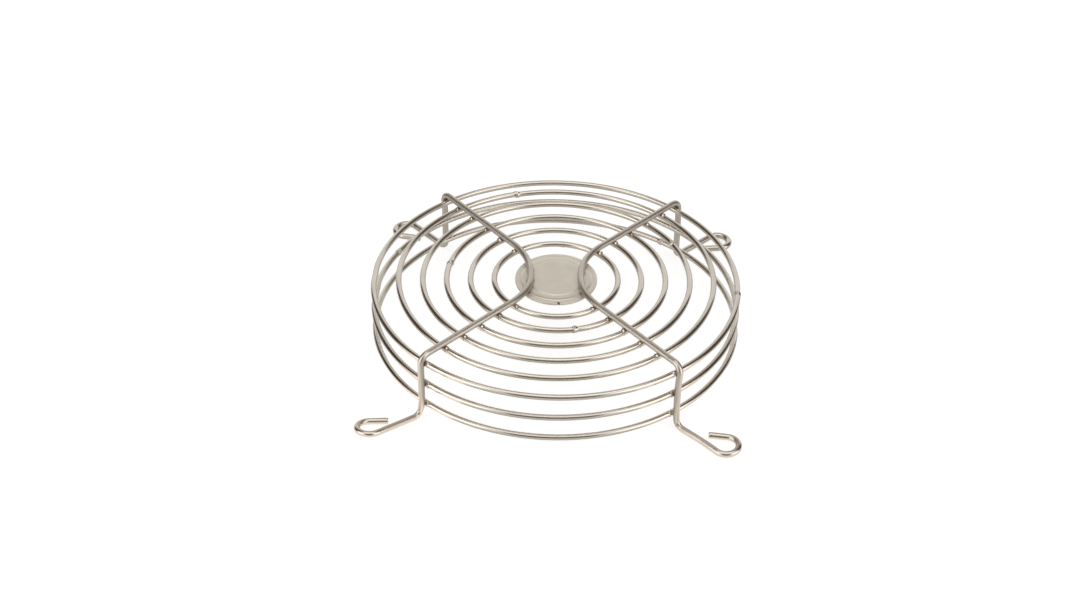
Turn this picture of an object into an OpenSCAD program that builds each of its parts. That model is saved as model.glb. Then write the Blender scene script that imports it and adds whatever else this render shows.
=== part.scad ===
// Basket-shaped wire guard for an axial fan: a flat grille of concentric rings, two side rings,
// two bent support wires that end in screw eyes, and a pressed hub disc, all resistance welded.
// Millimetres. The origin is at the centre of the mounting face that the feet stand on; +Z is up,
// away from the fan, and +X runs through the middle of the right support wire.

/* [Screw eyes] */
// Distance between neighbouring screws, along either side of the square pattern
screw_spacing = 105; // [102:0.5:108]
// Clear diameter inside an eye
eye_inner_d = 5.4; // [4.6:0.1:6]
// Angle that the wire turns round the screw
eye_wrap = 217; // [205:1:222]
// Straight free end of the wire past the eye
eye_tail = 5.6; // [4:0.1:6]

/* [Basket] */
// Height from the mounting face to the top of the arms
guard_h = 24; // [20:0.5:32]
// How far the eyes stand out past the side of the rings
eye_overhang = 0.1; // [-0.8:0.1:1.6]
// Straight leg between the foot bend and the middle of the lowest ring
lower_ring_clear = 1.3; // [0.3:0.1:3]

/* [Support wires] */
// Diameter of the support wire
frame_wire_d = 2; // [1.8:0.1:2.2]
// Angle between the two arms of one support wire
arm_spread = 97; // [94:0.5:100]
// Clear width between the two support wires over the hub
hub_clear = 13.5; // [12.5:0.1:14.5]
// Bend radius from arm to leg, on the wire's centreline
corner_bend_r = 3; // [2.6:0.1:3.4]
// Bend radius from leg to foot, on the wire's centreline
foot_bend_r = 2.7; // [2.3:0.1:3.6]
// How much thicker the wire is in its bends, where bending upsets it
bend_swell = 0.02; // [0.01:0.005:0.04]

/* [Rings] */
// Diameter of the ring wire
ring_wire_d = 1.8; // [1.6:0.1:2]
// Outside diameter of the innermost grille ring
inner_ring_d = 40; // [38:0.2:43]

/* [Hub disc] */
// Outside diameter of the disc
disc_d = 25.4; // [24.4:0.2:27]
// Thickness of the disc's sheet
disc_sheet_t = 0.6; // [0.4:0.05:0.8]
// Height of the raised centre above the land round it
disc_rise = 0.3; // [0.2:0.05:0.5]
// How far the raised centre reaches out past the middle of the support wires
disc_seat_w = 0.75; // [0.5:0.05:1]
// Width of each rolled step, round the raised centre and round the land
disc_roll_w = 1.35; // [1:0.05:1.5]
// Width of the flat rim at the disc's edge
disc_rim_w = 0.8; // [0.6:0.05:1.2]
// Drop from the land to the flat rim
disc_rim_drop = 0.2; // [0.1:0.05:0.4]
// Diameter of the small nick in the disc's front edge
disc_nick_d = 0.9; // [0.6:0.05:1.2]

/* [Welds] */
// Depth that crossing wires are pressed into each other by welding
weld_set = 0.15; // [0.05:0.05:0.25]
// Diameter of the lump of squeezed metal at a crossing
weld_bead_d = 2.6; // [2.4:0.05:2.8]
// Distance of a lump's middle from the ring's centreline, towards the support wire
weld_bead_shift = 0.3; // [0.2:0.05:0.4]
// Diameter of the upset where a ring's two ends are butt welded
butt_bead_d = 2.3; // [2.1:0.05:2.5]

/* [Hidden] */
$fn = 72;

// Quarter turn: arm to leg, leg to foot
right_angle = 90;
half_turn = 180;
// How far each straight reaches into the bends at its ends
bend_lap = 0.05;

// Support wires: one quarter of the frame lies at arm_angle from +X, and the others mirror it
arm_angle = arm_spread / 2;
arm_z = guard_h - frame_wire_d / 2;
foot_z = frame_wire_d / 2;
// Closest that the hub bend's centreline comes to the guard's axis
hub_near_r = (hub_clear + frame_wire_d) / 2;
// The arms point at the axis, so the bend that rounds their corner follows from that distance
hub_bend_r = hub_near_r / (1 / sin(arm_angle) - 1);
hub_bend_centre_x = hub_near_r + hub_bend_r;
hub_tangent_r = hub_bend_r / tan(arm_angle);

// Rings
basket_r = screw_spacing / 2 + eye_inner_d / 2 + frame_wire_d - eye_overhang - ring_wire_d / 2;
inner_ring_r = (inner_ring_d - ring_wire_d) / 2;
// The grille rings step out evenly, with the rim ring as the last
grille_rings = 5;
ring_pitch = (basket_r - inner_ring_r) / grille_rings;
wire_seat = (frame_wire_d + ring_wire_d) / 2 - weld_set;
grille_z = arm_z - wire_seat;
rim_z = arm_z - corner_bend_r;
lower_ring_z = foot_z + foot_bend_r + lower_ring_clear;
upper_ring_z = (rim_z + lower_ring_z) / 2;
leg_r = basket_r + wire_seat;

// Screw eyes: the foot runs from the leg to the tangent point of the eye, on the eye's outer side
eye_r = (eye_inner_d + frame_wire_d) / 2;
leg_x = leg_r * cos(arm_angle);
leg_y = leg_r * sin(arm_angle);
eye_dx = screw_spacing / 2 - leg_x;
eye_dy = screw_spacing / 2 - leg_y;
eye_reach = norm([eye_dx, eye_dy]);
foot_angle = atan2(eye_dy, eye_dx) + asin(eye_r / eye_reach);
foot_len = sqrt(eye_reach * eye_reach - eye_r * eye_r);

// Feed, roll of the bending plane, bend radius and bend angle, from the hub bend out to the free end
HALF_WIRE = [
    [leg_r - corner_bend_r - hub_tangent_r, -right_angle, corner_bend_r, right_angle],
    [rim_z - foot_z - foot_bend_r, half_turn - (foot_angle - arm_angle), foot_bend_r, right_angle],
    [foot_len - foot_bend_r, right_angle, eye_r, eye_wrap],
    [eye_tail, 0, 0, 0]
];

// Butt welds: where each ring's ends meet, counted round from +X
GRILLE_BUTT_ANGLES = [86, -75.5, 170, 30, 108];
RIM_BUTT_ANGLE = -3;
UPPER_BUTT_ANGLE = 156;
LOWER_BUTT_ANGLE = 54;

// Disc
disc_top_z = arm_z - frame_wire_d / 2 + weld_set;
disc_seat_r = hub_near_r + disc_seat_w;
disc_land_r = disc_d / 2 - disc_rim_w - disc_roll_w;
NICK_ANGLE = -84;
profile_steps = 36;
// A rolled step falls away gently at first and is steep at its foot
roll_power = 3;

// Colours
NICKEL = [0.80, 0.77, 0.72];
NICKEL_DARK = [0.70, 0.67, 0.62];
DISC_GREY = [0.76, 0.74, 0.68];

// Angle from +X at which a circle about the axis passes under an arm or under the hub bend
function crossing_angle(r) =
    r >= hub_tangent_r
        ? arm_angle
        : acos((r * r + pow(hub_bend_centre_x, 2) - pow(hub_bend_r, 2)) / (2 * r * hub_bend_centre_x));

// The same angle in all four quarters
function quarters(angle) = [angle, half_turn - angle, half_turn + angle, -angle];

// Fall of a rolled step, from 0 to 1 as x goes from 0 to 1
function rolled(x) = pow(min(max(x, 0), 1), roll_power);

// Height of the disc's upper side at radius r
function disc_height(r) =
    disc_top_z
    - disc_rise * rolled((r - disc_seat_r) / disc_roll_w)
    - disc_rim_drop * rolled((r - disc_land_r) / disc_roll_w);

// A stretch of bent wire, from the origin along +X and turning towards +Y, a hair fuller than drawn wire
module bend(radius, angle, wire_d) {
    translate([0, radius, 0])
        rotate_extrude(angle = angle, start = -right_angle)
            translate([radius, 0])
                circle(d = wire_d + bend_swell);
}

// A straight stretch along +X that laps into the bends before and after it, so that all are one solid
module straight(length, wire_d, end_lap) {
    translate([-bend_lap, 0, 0])
        rotate([0, right_angle, 0])
            cylinder(h = bend_lap + length + end_lap, d = wire_d);
}

// Wire formed as a bender feeds it: each step is a straight feed, a roll, and a bend
module bent_wire(steps, wire_d, i = 0) {
    feed = steps[i][0];
    roll = steps[i][1];
    radius = steps[i][2];
    angle = steps[i][3];
    last = i == len(steps) - 1;
    straight(feed, wire_d, last ? 0 : bend_lap);
    if (!last)
        translate([feed, 0, 0])
            rotate([roll, 0, 0]) {
                bend(radius, angle, wire_d);
                translate([0, radius, 0])
                    rotate([0, 0, angle])
                        translate([0, -radius, 0])
                            bent_wire(steps, wire_d, i + 1);
            }
}

// The right-hand support wire: the bend beside the hub, and from it an arm, leg, foot and eye each way
module support_wire() {
    translate([hub_bend_centre_x, 0, arm_z])
        rotate_extrude(angle = half_turn - arm_spread, start = right_angle + arm_angle)
            translate([hub_bend_r, 0])
                circle(d = frame_wire_d + bend_swell);
    for (side = [0, 1])
        mirror([0, side, 0])
            rotate([0, 0, arm_angle])
                translate([hub_tangent_r, 0, arm_z])
                    bent_wire(HALF_WIRE, frame_wire_d);
}

module both_support_wires() {
    for (side = [0, 1])
        mirror([side, 0, 0])
            support_wire();
}

// A rolled ring with its butt weld, the lumps of its welds to the support wires, and their seats.
// The lumps sit off the ring's centreline, outwards or upwards, on the side of the support wire.
module welded_ring(radius, z, butt_angle, weld_angle, out_shift, up_shift) {
    difference() {
        union() {
            translate([0, 0, z])
                rotate_extrude()
                    translate([radius, 0])
                        circle(d = ring_wire_d);
            rotate([0, 0, butt_angle])
                translate([radius, 0, z])
                    sphere(d = butt_bead_d);
            for (angle = quarters(weld_angle))
                rotate([0, 0, angle])
                    translate([radius + out_shift, 0, z + up_shift])
                        sphere(d = weld_bead_d);
        }
        both_support_wires();
    }
}

module left_support_wire() {
    color(NICKEL)
        mirror([1, 0, 0])
            support_wire();
}

module right_support_wire() {
    color(NICKEL)
        support_wire();
}

// One of the flat grille's rings, counted from the innermost
module grille_ring(number) {
    radius = inner_ring_r + (number - 1) * ring_pitch;
    butt_angle = GRILLE_BUTT_ANGLES[number - 1];
    color(NICKEL_DARK)
        welded_ring(radius, grille_z, butt_angle, crossing_angle(radius), 0, weld_bead_shift);
}

module rim_ring() {
    color(NICKEL_DARK)
        welded_ring(basket_r, rim_z, RIM_BUTT_ANGLE, arm_angle, weld_bead_shift, 0);
}

module upper_side_ring() {
    color(NICKEL_DARK)
        welded_ring(basket_r, upper_ring_z, UPPER_BUTT_ANGLE, arm_angle, weld_bead_shift, 0);
}

module lower_side_ring() {
    color(NICKEL_DARK)
        welded_ring(basket_r, lower_ring_z, LOWER_BUTT_ANGLE, arm_angle, weld_bead_shift, 0);
}

// Pressed disc, revolved from its profile and seated under the two hub bends
module hub_disc() {
    radii = [for (i = [0 : profile_steps]) disc_seat_r + (disc_d / 2 - disc_seat_r) * i / profile_steps];
    upper = [for (r = radii) [r, disc_height(r)]];
    lower = [for (i = [profile_steps : -1 : 0]) [radii[i], disc_height(radii[i]) - disc_sheet_t]];
    color(DISC_GREY)
        difference() {
            rotate_extrude()
                polygon(concat([[0, disc_top_z]], upper, lower, [[0, disc_top_z - disc_sheet_t]]));
            rotate([0, 0, NICK_ANGLE])
                translate([disc_d / 2, 0, 0])
                    cylinder(h = guard_h, d = disc_nick_d);
            both_support_wires();
        }
}

left_support_wire();
right_support_wire();
grille_ring(1);  // grille_ring_1
grille_ring(2);  // grille_ring_2
grille_ring(3);  // grille_ring_3
grille_ring(4);  // grille_ring_4
grille_ring(5);  // grille_ring_5
rim_ring();
upper_side_ring();
lower_side_ring();
hub_disc();
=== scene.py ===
"""Looks for the wire fan guard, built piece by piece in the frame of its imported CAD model."""

import logging
import math
from dataclasses import dataclass, field
from enum import Enum

import bpy
import numpy as np
from mathutils import Matrix, Vector

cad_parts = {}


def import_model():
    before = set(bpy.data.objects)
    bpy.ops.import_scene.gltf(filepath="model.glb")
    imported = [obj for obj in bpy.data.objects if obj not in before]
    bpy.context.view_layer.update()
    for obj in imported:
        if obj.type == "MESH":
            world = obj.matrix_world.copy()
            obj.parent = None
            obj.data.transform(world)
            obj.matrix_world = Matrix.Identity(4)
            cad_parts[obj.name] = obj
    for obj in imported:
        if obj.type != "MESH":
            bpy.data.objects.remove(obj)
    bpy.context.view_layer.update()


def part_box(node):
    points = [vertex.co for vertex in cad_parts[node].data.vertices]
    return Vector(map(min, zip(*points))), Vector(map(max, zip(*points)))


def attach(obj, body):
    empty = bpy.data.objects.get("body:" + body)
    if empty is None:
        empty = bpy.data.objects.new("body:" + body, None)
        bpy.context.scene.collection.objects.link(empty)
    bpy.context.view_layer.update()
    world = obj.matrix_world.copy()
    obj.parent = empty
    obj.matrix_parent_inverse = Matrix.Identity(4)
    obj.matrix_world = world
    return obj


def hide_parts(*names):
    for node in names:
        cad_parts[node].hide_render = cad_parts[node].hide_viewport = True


logging.basicConfig(level=logging.INFO, format="%(levelname)s %(message)s")
LOG = logging.getLogger("fan_guard")

MM = 0.001
# Largest x and y of a ring's middle line, which keep the basket inside its drawn box.
BASKET_LIMIT = 56.28
FULL_TURN = 2 * math.pi
QUARTER_TURN = math.pi / 2
# Random phases of uneven metal are drawn from this span, in radians.
PHASE_SPAN = 6.3
FLOAT, COLOR, VECTOR = "NodeSocketFloat", "NodeSocketColor", "NodeSocketVector"

Colour = tuple[float, float, float, float]
Pair = tuple[float, float]
Socket = bpy.types.NodeSocket


# Sizes shared by all sub-assemblies


@dataclass(frozen=True)
class GuardSizes:
    """Named sizes of the guard in millimetres and degrees, as its CAD source has them."""

    screw_spacing: float = 105.0
    eye_inner_d: float = 5.4
    eye_wrap: float = 217.0
    eye_tail: float = 5.6
    guard_h: float = 24.0
    frame_wire_d: float = 2.0
    arm_spread: float = 97.0
    hub_clear: float = 13.5
    corner_bend_r: float = 3.0
    foot_bend_r: float = 2.7
    lower_ring_clear: float = 1.3
    ring_wire_d: float = 1.8
    disc_sheet_t: float = 0.6
    disc_rise: float = 0.3
    disc_seat_w: float = 0.75
    disc_roll_w: float = 1.35
    disc_rim_w: float = 0.8
    disc_rim_drop: float = 0.2
    disc_nick_d: float = 0.9
    weld_set: float = 0.15

    @property
    def arm_angle(self) -> float:
        """Angle of an arm from +X, in radians."""
        return math.radians(self.arm_spread / 2)

    @property
    def arm_z(self) -> float:
        """Height of the arms' centreline."""
        return self.guard_h - self.frame_wire_d / 2

    @property
    def foot_z(self) -> float:
        """Height of the feet's centreline."""
        return self.frame_wire_d / 2

    @property
    def eye_r(self) -> float:
        """Radius of an eye's centreline."""
        return (self.eye_inner_d + self.frame_wire_d) / 2

    @property
    def wire_seat(self) -> float:
        """Distance between the centrelines of a ring and a support wire welded to it."""
        return (self.frame_wire_d + self.ring_wire_d) / 2 - self.weld_set

    @property
    def hub_near_r(self) -> float:
        """Closest that a hub bend's centreline comes to the axis."""
        return (self.hub_clear + self.frame_wire_d) / 2

    @property
    def hub_bend_r(self) -> float:
        """Bend radius beside the hub."""
        return self.hub_near_r / (1 / math.sin(self.arm_angle) - 1)

    @property
    def hub_tangent_r(self) -> float:
        """Distance from the axis at which a hub bend becomes a straight arm."""
        return self.hub_bend_r / math.tan(self.arm_angle)

    @property
    def rim_z(self) -> float:
        """Height of the rim ring."""
        return self.arm_z - self.corner_bend_r

    @property
    def lower_ring_z(self) -> float:
        """Height of the lower side ring."""
        return self.foot_z + self.foot_bend_r + self.lower_ring_clear

    @property
    def upper_ring_z(self) -> float:
        """Height of the upper side ring."""
        return (self.rim_z + self.lower_ring_z) / 2

    @property
    def grille_z(self) -> float:
        """Height of the flat grille's rings."""
        return self.arm_z - self.wire_seat

    @property
    def disc_top_z(self) -> float:
        """Height of the disc's raised centre."""
        return self.arm_z - self.frame_wire_d / 2 + self.weld_set


# Wire geometry


def unit(vectors: np.ndarray) -> np.ndarray:
    """Vectors scaled to length one, row by row."""
    return vectors / np.linalg.norm(vectors, axis=-1, keepdims=True)


def hill(gap: np.ndarray, width: float, power: int = 2) -> np.ndarray:
    """A smooth hill of height one where the gap is zero, steeper with a higher power."""
    return np.exp(-((gap / width) ** power))


def smooth_noise(
    run: np.ndarray, length: float, seed: int, waves: int, closed: bool
) -> np.ndarray:
    """Low, smooth variation along a wire, as hand-fed rolling and bending leave it.

    Args:
        run: Distance of each section along the wire.
        length: Whole length of the wire.
        seed: Seed of the pseudo-random phases.
        waves: Highest number of waves over the length.
        closed: Whether the wire closes on itself, so that the variation must too.

    Returns:
        One value per section, within about -1 to 1.
    """
    rng = np.random.default_rng(seed)
    total = np.zeros_like(run)
    for k in range(2, waves + 2):
        turns = k if closed else k / 2
        size = rng.normal() / k
        total += size * np.sin(FULL_TURN * turns * run / length + rng.uniform(0, FULL_TURN))
    return total / np.abs(total).max()


@dataclass
class Centreline:
    """Sampled middle line of a wire, with a frame of section axes that doesn't twist."""

    points: np.ndarray  # Middle of each section
    side: np.ndarray  # First section axis
    lift: np.ndarray  # Second section axis
    run: np.ndarray  # Distance along the wire
    closed: bool  # Whether the last section joins the first

    @classmethod
    def along(cls, points: np.ndarray, run: np.ndarray) -> "Centreline":
        """Gives an open line section axes that don't twist.

        Args:
            points: Middle line.
            run: Distance along it.

        Returns:
            The centreline.
        """
        tangent = unit(np.gradient(points, run, axis=0))
        side = np.zeros_like(points)
        side[0] = unit(np.cross(tangent[0], [0.0, 0.0, 1.0]))
        for k in range(1, len(points)):
            flat = side[k - 1] - (side[k - 1] @ tangent[k]) * tangent[k]
            side[k] = flat / np.linalg.norm(flat)
        return cls(points, side, np.cross(tangent, side), run, False)

    @property
    def length(self) -> float:
        """Whole length of the wire."""
        end = np.linalg.norm(self.points[0] - self.points[-1]) if self.closed else 0.0
        return float(self.run[-1] + end)

    def distance(self, spots: np.ndarray) -> np.ndarray:
        """Shortest distance from each of some points to this line, taken as open.

        Args:
            spots: Points as rows.

        Returns:
            One distance per row.
        """
        starts, step = self.points[:-1], np.diff(self.points, axis=0)
        rel = spots[:, None, :] - starts[None]
        share = np.einsum("ijk,jk->ij", rel, step) / np.einsum("jk,jk->j", step, step)
        gap = np.linalg.norm(rel - np.clip(share, 0, 1)[..., None] * step[None], axis=2)
        return gap.min(axis=1)

    def near(self, middle: np.ndarray, reach: float = 12.0) -> "Centreline":
        """The stretch of this line within reach of a point, as an open line.

        Args:
            middle: The point.
            reach: Largest distance from it.

        Returns:
            A shorter centreline with its sections in order.
        """
        gap = np.linalg.norm(self.points - middle, axis=1)
        keep = np.flatnonzero(gap < reach)
        if self.closed:
            shift = len(gap) // 2 - int(np.argmin(gap))
            keep = keep[np.argsort((keep + shift) % len(gap))]
        return Centreline(
            self.points[keep], self.side[keep], self.lift[keep], self.run[keep], False
        )


@dataclass
class Joint:
    """A resistance weld between two crossing wires."""

    place: np.ndarray  # Point between the two middle lines
    other: Centreline  # Middle line of the other wire near the weld
    other_r: float  # Radius of the other wire


@dataclass(frozen=True)
class Squeeze:
    """Form of the metal that a resistance weld squeezes out, in millimetres."""

    lip: float = 0.0  # Height of the lip beside the other wire
    # Least and most distance of a lip from the weld's middle
    lip_at: Pair = (1.22, 1.42)
    lip_size: Pair = (0.6, 1.15)  # Least and most share of its height
    lip_w: float = 0.17  # Half-width of a lip
    fillet: float = 0.8  # Width over which the two wires blend
    around: float = 9.0  # How far from the weld the skin may move
    crevice_shade_w: float = 0.55  # Width of the painted shade in the crevice, over a little weld tint
    crevice_reach: float = 2.6  # How far from the weld it reaches
    burn_and_shade: float = 0.62  # How dark a lip is painted: painted shade over a little weld tint
    burn_at: float = 1.3  # Distance from the middle at which that starts to fade
    burn_w: float = 0.3  # Distance over which it fades
    tone: Pair = (0.85, 1.0)  # Least and most of a weld's tint and painted shade


@dataclass(frozen=True)
class ButtWeld:
    """The collar where a ring's two ends are butt welded, in millimetres."""

    seed: int  # Seed of its unevenness
    size: float  # How much of a full collar the weld left
    height: float = 0.24  # Height of the collar
    half_w: float = 0.7  # Half of its width
    edge_w: float = 0.08  # How gently its edges fall
    crown: float = 0.38  # Share of it that is rounded along the wire
    crown_w: float = 0.45  # Half-width of that rounding
    seam: float = 0.07  # Depth of the seam in its middle
    seam_w: float = 0.12  # Half-width of the seam
    burn_at: float = 0.74  # Distance of the darkened edges from the middle, at the collar's foot
    burn_w: float = 0.15  # Half-width of a darkened edge
    edge_tint_and_shade: Pair = (1.0, 0.62)  # How dark the two edges are painted: painted shade at the collar's foot, over a little weld tint
    # Least and most by which the two ends miss each other sideways
    miss: Pair = (0.05, 0.11)
    miss_up: float = 0.05  # Most by which they miss each other in height
    smooth_w: float = 0.75  # Half-width of the collar's smoother skin

    @staticmethod
    def gap(line: Centreline) -> np.ndarray:
        """Signed distance of each section from the weld, where the line starts."""
        half = line.length / 2
        return (line.run + half) % line.length - half

    def swell(self, line: Centreline, turn: np.ndarray) -> np.ndarray:
        """Extra radius of the collar.

        Args:
            line: The ring's middle line.
            turn: Angles round the section.

        Returns:
            Extra radius per section and side.
        """
        gap = np.abs(self.gap(line))
        flat = (1 - self.crown) / (1 + np.exp((gap - self.half_w) / self.edge_w))
        collar = flat + self.crown * hill(gap, self.crown_w)
        rng = np.random.default_rng(self.seed + 3)
        wave = sum(0.05 * np.sin(k * turn + rng.uniform(0, PHASE_SPAN)) for k in (1, 2, 3))
        seam = self.seam * hill(gap, self.seam_w)
        return self.size * (collar[:, None] * (self.height + wave[None]) - seam[:, None])

    def heat(self, line: Centreline, turn: np.ndarray) -> np.ndarray:
        """Painted shade along the collar's edges at its foot, over a little weld tint, more on one
        edge than on the other.

        Args:
            line: The ring's middle line.
            turn: Angles round the section.

        Returns:
            Tint and painted shade per section and side.
        """
        gap = self.gap(line)
        rng = np.random.default_rng(self.seed + 13)
        flank = rng.choice([-1, 1])
        total = np.zeros((len(gap), len(turn)))
        # Painted shade at the collar's foot, over a little weld tint, stronger on one edge
        for edge, burn_and_shade in zip((flank, -flank), self.edge_tint_and_shade):
            ridge = hill(gap - self.burn_at * edge, self.burn_w)
            patch = np.clip(0.75 + 0.45 * np.sin(turn + rng.uniform(0, PHASE_SPAN)), 0, 1.1)
            total = np.maximum(total, burn_and_shade * ridge[:, None] * patch[None])
        return self.size * total

    def offset(self, line: Centreline) -> np.ndarray:
        """Shift by which the two welded ends miss each other.

        Args:
            line: The ring's middle line.

        Returns:
            One vector per section.
        """
        gap = self.gap(line)
        rng = np.random.default_rng(self.seed + 5)
        aside = rng.uniform(*self.miss) * rng.choice([-1, 1])
        up = rng.uniform(-self.miss_up, self.miss_up)
        step = np.tanh(gap / 0.25) * np.exp(-np.abs(gap) / 5.0)
        return self.size * step[:, None] * (aside * line.side + up * line.lift)

    def smoothness(self, line: Centreline) -> np.ndarray:
        """How smooth the collar's skin is at each section, from 0 to 1."""
        return self.size * hill(self.gap(line), self.smooth_w, 4)


@dataclass(frozen=True)
class Pinch:
    """Mark of a bending tool on a wire, in millimetres and radians."""

    run: float  # Its place along the wire
    angle: float  # Its place round the wire
    depth: float  # Its depth
    length: float = 1.3  # Half of its length
    spread: float = 0.55  # Half of its width round the wire

    def dent(self, run: np.ndarray, turn: np.ndarray) -> np.ndarray:
        """Depth of the mark over the wire's skin.

        Args:
            run: Distance of each section along the wire.
            turn: Angles round the section.

        Returns:
            Depth per section and side.
        """
        along = hill(run - self.run, self.length, 4)
        round_it = hill(np.angle(np.exp(1j * (turn - self.angle))), self.spread)
        return self.depth * along[:, None] * round_it[None]


@dataclass
class RoundWire:
    """Round drawn wire swept along a centreline, with its welds and tool marks in the metal."""

    name: str
    line: Centreline
    radius: float  # Wire radius
    sides: int  # Points round a section
    seed: int  # Seed of the small irregularities
    joints: list[Joint]  # Welds to other wires
    squeeze: Squeeze = Squeeze()  # Form of those welds
    butt: ButtWeld | None = None  # Butt weld at the line's start, or None
    pinches: list[Pinch] = field(default_factory=list)  # Marks of the bending tool
    formed: float = 0.0  # Length at each end that the forming tool burnished
    formed_fade: float = 3.0  # Length over which that fades
    uneven: float = 0.008  # How much the wire's radius varies
    # How far a sheared end is rounded over, along the wire and as share of its radius
    worn: float = 0.16
    # Size and rise of the rings of a sheared face, inside its rim
    cap: tuple[Pair, ...] = ((0.94, 0.03), (0.5, 0.05))
    cap_middle: float = 0.02  # Rise of that face's middle

    def build(self) -> bpy.types.Object:
        """Makes the mesh object with its attributes.

        Returns:
            The new object, linked to the scene and in metres.
        """
        line = self.line
        turn = np.arange(self.sides) * FULL_TURN / self.sides
        cos, sin = np.cos(turn)[None, :, None], np.sin(turn)[None, :, None]
        out = cos * line.side[:, None] + sin * line.lift[:, None]
        points = line.points[:, None] + self._radii(turn)[..., None] * out
        if self.butt:
            points += self.butt.offset(line)[:, None]
        # Weld tint, with painted shade in the welds' crevices, on their lips and at the butt
        # collar's feet
        heat = self._weld(points, out)
        if self.butt:
            heat = np.maximum(heat, self.butt.heat(line, turn))
        return self._mesh(points, turn, heat)

    def _radii(self, turn: np.ndarray) -> np.ndarray:
        """Radius of the skin before its welds.

        Args:
            turn: Angles round the section.

        Returns:
            One radius per section and side.
        """
        line = self.line
        noise = smooth_noise(line.run, line.length, self.seed + 7, 40, line.closed)
        radii = np.tile((self.radius + self.uneven * noise)[:, None], (1, self.sides))
        if self.butt:
            radii += self.butt.swell(line, turn)
        for pinch in self.pinches:
            radii -= pinch.dent(line.run, turn)
        if not line.closed:
            gap = np.minimum(line.run, line.length - line.run)
            worn = np.clip(1 - gap / self.worn, 0, 1)
            radii *= (1 - self.worn * worn**2)[:, None]
        return radii

    def _weld(self, points: np.ndarray, out: np.ndarray) -> np.ndarray:
        """Pushes the skin out into a fillet and two lips at each weld.

        Args:
            points: Skin points by section and side, changed in place.
            out: Outward directions of the skin.

        Returns:
            Weld tint on the skin, with painted shade in the crevice and on the lips, from 0 to 1.
        """
        form, middles = self.squeeze, self.line.points
        heat = np.zeros(points.shape[:2])
        rng = np.random.default_rng(self.seed + 11)
        for joint in self.joints:
            from_weld = np.linalg.norm(middles - joint.place, axis=1)
            rows, middle = np.flatnonzero(from_weld < form.around), int(np.argmin(from_weld))
            spots = points[rows].reshape(-1, 3)
            gap = (joint.other.distance(spots) - joint.other_r).reshape(len(rows), -1)
            tone = rng.uniform(*form.tone)
            reach = np.linalg.norm(spots - joint.place, axis=1).reshape(gap.shape)
            lumps = self._lumps(spots, rng).reshape(gap.shape)
            width = form.fillet * (1 + 0.25 * lumps)
            share = np.clip(1 - np.abs(gap) / width, 0, 1)
            swell = share**2 * width / 4 * (1 + 0.3 * lumps)
            towards = unit(joint.place - middles[middle])
            facing = np.clip(0.45 + 0.55 * (out[rows] @ towards), 0, 1)
            along = np.linalg.norm(middles[rows] - middles[middle], axis=1)
            for flank in (rows <= middle, rows > middle):
                spot, size = rng.uniform(*form.lip_at), rng.uniform(*form.lip_size)
                ridge = hill(along - spot, form.lip_w) * flank * size
                swell += form.lip * ridge[:, None] * facing * (1 + 0.45 * lumps)
            points[rows] += swell[..., None] * out[rows]
            # Painted shade in the crevice between the two wires, over a little weld tint
            burn_and_shade_mask = hill(np.maximum(gap, 0), form.crevice_shade_w) * (reach < form.crevice_reach)
            # Painted shade on the lips beside the other wire, over a little weld tint
            if form.lip:
                fade = form.burn_and_shade * hill(np.maximum(along - form.burn_at, 0), form.burn_w)
                burn_and_shade_mask = np.maximum(burn_and_shade_mask, fade[:, None] * facing)
            heat[rows] = np.maximum(heat[rows], burn_and_shade_mask * tone * (0.9 + 0.35 * lumps))
        return heat

    @staticmethod
    def _lumps(spots: np.ndarray, rng: np.random.Generator) -> np.ndarray:
        """Unevenness of a weld's squeezed metal.

        Args:
            spots: Skin points as rows.
            rng: Source of the phases.

        Returns:
            One value per row, within about -1 to 1.
        """
        total = np.zeros(len(spots))
        for scale in (1.9, 3.3, 5.1):
            way = unit(rng.normal(size=3))
            total += np.sin(scale * (spots @ way) + rng.uniform(0, PHASE_SPAN))
        return total / 2.2

    def _mesh(self, points: np.ndarray, turn: np.ndarray, heat: np.ndarray) -> bpy.types.Object:
        """Turns the grid of skin points into an object.

        Args:
            points: Skin points by section and side, in millimetres.
            turn: Angles round the section.
            heat: Weld tint, with painted shade in crevices, on lips and at collar feet.

        Returns:
            The object.
        """
        n, m = points.shape[:2]
        line = self.line
        i, j = np.meshgrid(np.arange(n if line.closed else n - 1), np.arange(m), indexing="ij")
        i2, j2 = (i + 1) % n, (j + 1) % m
        quads = np.stack([i * m + j, i2 * m + j, i2 * m + j2, i * m + j2], -1)
        faces = quads.reshape(-1, 4).tolist()
        sector = np.tile(np.stack([np.cos(turn), np.sin(turn)], -1), (n, 1))
        smooth = self.butt.smoothness(line) if self.butt else np.zeros(n)
        skin = {
            "verts": points.reshape(-1, 3),
            "wire_place": np.concatenate([sector, np.repeat(line.run, m)[:, None]], 1),
            "weld_heat": heat.reshape(-1),
            "butt_weld": np.repeat(smooth, m),
            "cut_face": np.zeros(n * m),
        }
        if not line.closed:
            for end, beside in ((0, 1), (n - 1, n - 2)):
                self._cap(end, beside, skin, faces)
        run = skin["wire_place"][:, 2]
        from_end = np.minimum(run, line.length - run)
        skin["formed_end"] = np.clip((self.formed - from_end) / self.formed_fade, 0, 1)
        return new_piece(self.name, faces=faces, **skin)

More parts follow.
